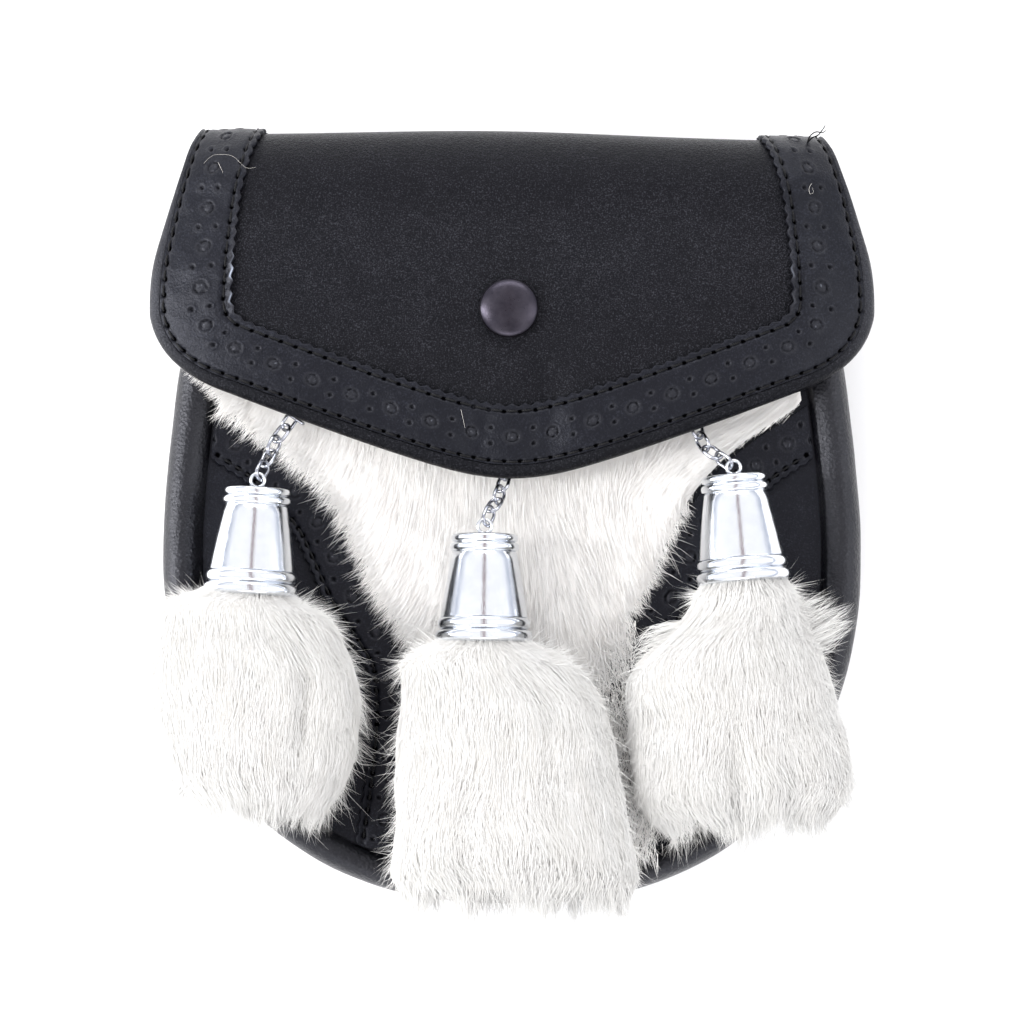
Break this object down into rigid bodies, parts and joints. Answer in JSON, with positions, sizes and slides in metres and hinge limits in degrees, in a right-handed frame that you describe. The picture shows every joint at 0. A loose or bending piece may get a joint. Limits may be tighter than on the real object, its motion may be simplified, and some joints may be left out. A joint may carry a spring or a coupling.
{
  "type": "sporran pouch",
  "caption": "Leather sporran pouch with a pointed brogued flap, press stud, fur front panel and chain-hung fur tassels in turned metal cones.",
  "frame": {"origin": "middle of the bottom face of the whole object's box, on the surface that it lies on", "axes": "+X to the right as the front is seen, +Y towards the top of the sporran, +Z out of its front"},
  "size_m": [0.1804, 0.198, 0.0684],
  "materials": {
    "grained_leather": "black, finely grained, satin",
    "brogued_leather": "black, smooth, brogued and stitched, satin",
    "panel_fur": "ivory rabbit-like fur, short",
    "tassel_fur": "white fur, long and soft",
    "chrome": "bright plated",
    "gunmetal": "black nickel, satin"
  },
  "bodies": {
    "root": {"back_panel": "grained_leather", "belt_loop": "grained_leather", "chain_anchor_centre": "chrome", "chain_anchor_left": "chrome", "chain_anchor_right": "chrome", "cone_centre": "chrome", "cone_left": "chrome", "cone_right": "chrome", "flap": "grained_leather", "flap_border": "brogued_leather", "front_panel": "grained_leather", "fur_panel": "panel_fur", "gusset": "grained_leather", "link_centre_1": "chrome", "link_centre_2": "chrome", "link_centre_3": "chrome", "link_centre_4": "chrome", "link_centre_5": "chrome", "link_left_1": "chrome", "link_left_2": "chrome", "link_left_3": "chrome", "link_left_4": "chrome", "link_left_5": "chrome", "link_right_1": "chrome", "link_right_2": "chrome", "link_right_3": "chrome", "link_right_4": "chrome", "side_band_left": "brogued_leather", "side_band_right": "brogued_leather", "snap_cap": "gunmetal", "snap_post": "gunmetal", "tassel_fur_centre": "tassel_fur", "tassel_fur_left": "tassel_fur", "tassel_fur_right": "tassel_fur"}
  },
  "joints": []
}
